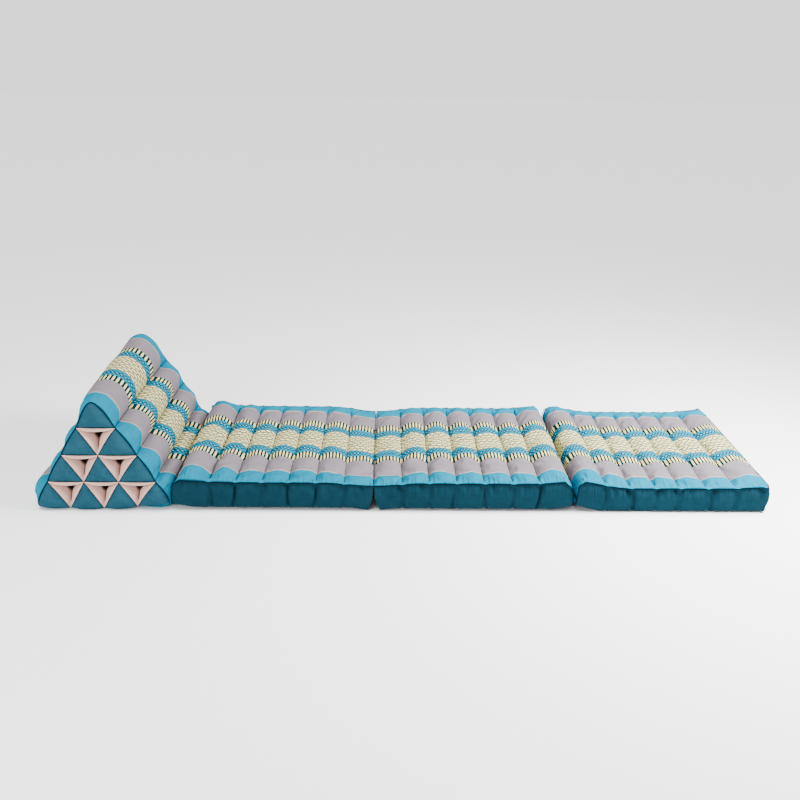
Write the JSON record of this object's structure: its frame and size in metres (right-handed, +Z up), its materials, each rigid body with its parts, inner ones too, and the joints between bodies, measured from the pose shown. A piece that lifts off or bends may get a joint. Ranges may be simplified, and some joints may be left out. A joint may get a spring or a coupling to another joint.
{
  "type": "thai triangle cushion",
  "caption": "Triangular headrest with open lined pockets in its ends, hinged to channelled, cloth-covered mattress sections that lie opened out flat.",
  "frame": {"origin": "middle of the underside, on the floor", "axes": "+X along the cushion from the headrest to the foot, +Z up, -Y towards the near side"},
  "size_m": [1.8119, 0.518, 0.3077],
  "materials": {
    "headrest_cloth": "matt woven cotton",
    "section_cloth": "matt woven cotton with woven bands",
    "pocket_cloth": "matt plain cotton",
    "hinge_cloth": "matt plain cotton",
    "seam_cord": "matt twisted cord"
  },
  "bodies": {
    "root": {"wedge": "headrest_cloth", "mat_head": "section_cloth", "mat_middle": "section_cloth", "mat_foot": "section_cloth", "pocket_near_1": "pocket_cloth", "pocket_near_2": "pocket_cloth", "pocket_near_3": "pocket_cloth", "pocket_near_4": "pocket_cloth", "pocket_near_5": "pocket_cloth", "pocket_near_6": "pocket_cloth", "pocket_far_1": "pocket_cloth", "pocket_far_2": "pocket_cloth", "pocket_far_3": "pocket_cloth", "pocket_far_4": "pocket_cloth", "pocket_far_5": "pocket_cloth", "pocket_far_6": "pocket_cloth", "hinge_wedge": "hinge_cloth", "hinge_head": "hinge_cloth", "hinge_foot": "hinge_cloth", "cord_mat_head_near": "seam_cord", "cord_mat_head_far": "seam_cord", "cord_mat_middle_near": "seam_cord", "cord_mat_middle_far": "seam_cord", "cord_mat_foot_near": "seam_cord", "cord_mat_foot_far": "seam_cord", "cord_foot_end": "seam_cord", "cord_wedge_near": "seam_cord", "cord_wedge_far": "seam_cord"}
  },
  "joints": []
}
